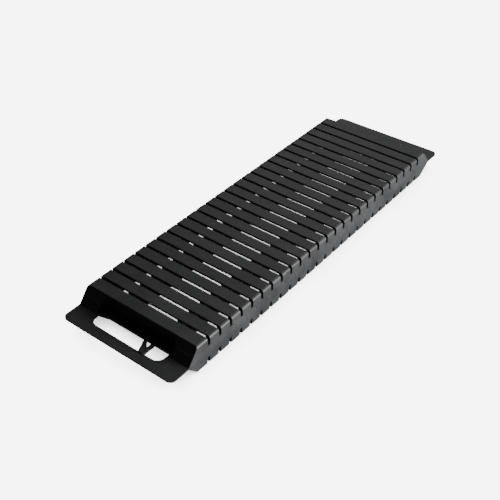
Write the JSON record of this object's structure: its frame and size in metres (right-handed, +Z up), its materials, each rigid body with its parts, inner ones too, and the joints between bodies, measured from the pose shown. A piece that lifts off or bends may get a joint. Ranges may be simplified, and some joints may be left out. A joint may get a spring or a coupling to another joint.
{
  "type": "tyre traction mat",
  "caption": "Ribbed traction mat of hinged tread links, open underneath, with a ramp and a slotted handle flange at each end.",
  "frame": {"origin": "on the ground under the middle of the mat", "axes": "+X along the mat towards the far handle, +Y to the left across it, +Z up"},
  "size_m": [0.6716, 0.1958, 0.0457],
  "materials": {
    "moulding": "fine moulded grain",
    "pin_steel": "plain drawn wire"
  },
  "bodies": {
    "near_end": {"handle_end_near": "moulding"},
    "link_01": {"tread_link_01": "moulding", "hinge_pins_01": "pin_steel"},
    "link_02": {"tread_link_02": "moulding", "hinge_pins_02": "pin_steel"},
    "link_03": {"tread_link_03": "moulding", "hinge_pins_03": "pin_steel"},
    "link_04": {"tread_link_04": "moulding", "hinge_pins_04": "pin_steel"},
    "link_05": {"tread_link_05": "moulding", "hinge_pins_05": "pin_steel"},
    "link_06": {"tread_link_06": "moulding", "hinge_pins_06": "pin_steel"},
    "link_07": {"tread_link_07": "moulding", "hinge_pins_07": "pin_steel"},
    "link_08": {"tread_link_08": "moulding", "hinge_pins_08": "pin_steel"},
    "link_09": {"tread_link_09": "moulding", "hinge_pins_09": "pin_steel"},
    "link_10": {"tread_link_10": "moulding", "hinge_pins_10": "pin_steel"},
    "link_11": {"tread_link_11": "moulding", "hinge_pins_11": "pin_steel"},
    "link_12": {"tread_link_12": "moulding", "hinge_pins_12": "pin_steel"},
    "link_13": {"tread_link_13": "moulding", "hinge_pins_13": "pin_steel"},
    "link_14": {"tread_link_14": "moulding", "hinge_pins_14": "pin_steel"},
    "link_15": {"tread_link_15": "moulding", "hinge_pins_15": "pin_steel"},
    "link_16": {"tread_link_16": "moulding", "hinge_pins_16": "pin_steel"},
    "link_17": {"tread_link_17": "moulding", "hinge_pins_17": "pin_steel"},
    "link_18": {"tread_link_18": "moulding", "hinge_pins_18": "pin_steel"},
    "link_19": {"tread_link_19": "moulding", "hinge_pins_19": "pin_steel"},
    "link_20": {"tread_link_20": "moulding", "hinge_pins_20": "pin_steel"},
    "far_end": {"handle_end_far": "moulding", "hinge_pins_21": "pin_steel"}
  },
  "joints": [
    {"name": "hinge_01", "type": "hinge", "parent": "link_01", "child": "near_end", "pos_m": [-0.22, 0, 0.0224], "axis": [0, 1, 0], "range_deg": [-11, 11]},
    {"name": "hinge_02", "type": "hinge", "parent": "link_02", "child": "link_01", "pos_m": [-0.198, 0, 0.0224], "axis": [0, 1, 0], "range_deg": [-11, 11]},
    {"name": "hinge_03", "type": "hinge", "parent": "link_03", "child": "link_02", "pos_m": [-0.176, 0, 0.0224], "axis": [0, 1, 0], "range_deg": [-11, 11]},
    {"name": "hinge_04", "type": "hinge", "parent": "link_04", "child": "link_03", "pos_m": [-0.154, 0, 0.0224], "axis": [0, 1, 0], "range_deg": [-11, 11]},
    {"name": "hinge_05", "type": "hinge", "parent": "link_05", "child": "link_04", "pos_m": [-0.132, 0, 0.0224], "axis": [0, 1, 0], "range_deg": [-11, 11]},
    {"name": "hinge_06", "type": "hinge", "parent": "link_06", "child": "link_05", "pos_m": [-0.11, 0, 0.0224], "axis": [0, 1, 0], "range_deg": [-11, 11]},
    {"name": "hinge_07", "type": "hinge", "parent": "link_07", "child": "link_06", "pos_m": [-0.088, 0, 0.0224], "axis": [0, 1, 0], "range_deg": [-11, 11]},
    {"name": "hinge_08", "type": "hinge", "parent": "link_08", "child": "link_07", "pos_m": [-0.066, 0, 0.0224], "axis": [0, 1, 0], "range_deg": [-11, 11]},
    {"name": "hinge_09", "type": "hinge", "parent": "link_09", "child": "link_08", "pos_m": [-0.044, 0, 0.0224], "axis": [0, 1, 0], "range_deg": [-11, 11]},
    {"name": "hinge_10", "type": "hinge", "parent": "link_10", "child": "link_09", "pos_m": [-0.022, 0, 0.0224], "axis": [0, 1, 0], "range_deg": [-11, 11]},
    {"name": "hinge_11", "type": "hinge", "parent": "link_10", "child": "link_11", "pos_m": [0, 0, 0.0224], "axis": [0, -1, 0], "range_deg": [-11, 11]},
    {"name": "hinge_12", "type": "hinge", "parent": "link_11", "child": "link_12", "pos_m": [0.022, 0, 0.0224], "axis": [0, -1, 0], "range_deg": [-11, 11]},
    {"name": "hinge_13", "type": "hinge", "parent": "link_12", "child": "link_13", "pos_m": [0.044, 0, 0.0224], "axis": [0, -1, 0], "range_deg": [-11, 11]},
    {"name": "hinge_14", "type": "hinge", "parent": "link_13", "child": "link_14", "pos_m": [0.066, 0, 0.0224], "axis": [0, -1, 0], "range_deg": [-11, 11]},
    {"name": "hinge_15", "type": "hinge", "parent": "link_14", "child": "link_15", "pos_m": [0.088, 0, 0.0224], "axis": [0, -1, 0], "range_deg": [-11, 11]},
    {"name": "hinge_16", "type": "hinge", "parent": "link_15", "child": "link_16", "pos_m": [0.11, 0, 0.0224], "axis": [0, -1, 0], "range_deg": [-11, 11]},
    {"name": "hinge_17", "type": "hinge", "parent": "link_16", "child": "link_17", "pos_m": [0.132, 0, 0.0224], "axis": [0, -1, 0], "range_deg": [-11, 11]},
    {"name": "hinge_18", "type": "hinge", "parent": "link_17", "child": "link_18", "pos_m": [0.154, 0, 0.0224], "axis": [0, -1, 0], "range_deg": [-11, 11]},
    {"name": "hinge_19", "type": "hinge", "parent": "link_18", "child": "link_19", "pos_m": [0.176, 0, 0.0224], "axis": [0, -1, 0], "range_deg": [-11, 11]},
    {"name": "hinge_20", "type": "hinge", "parent": "link_19", "child": "link_20", "pos_m": [0.198, 0, 0.0224], "axis": [0, -1, 0], "range_deg": [-11, 11]},
    {"name": "hinge_21", "type": "hinge", "parent": "link_20", "child": "far_end", "pos_m": [0.22, 0, 0.0224], "axis": [0, -1, 0], "range_deg": [-11, 11]}
  ]
}
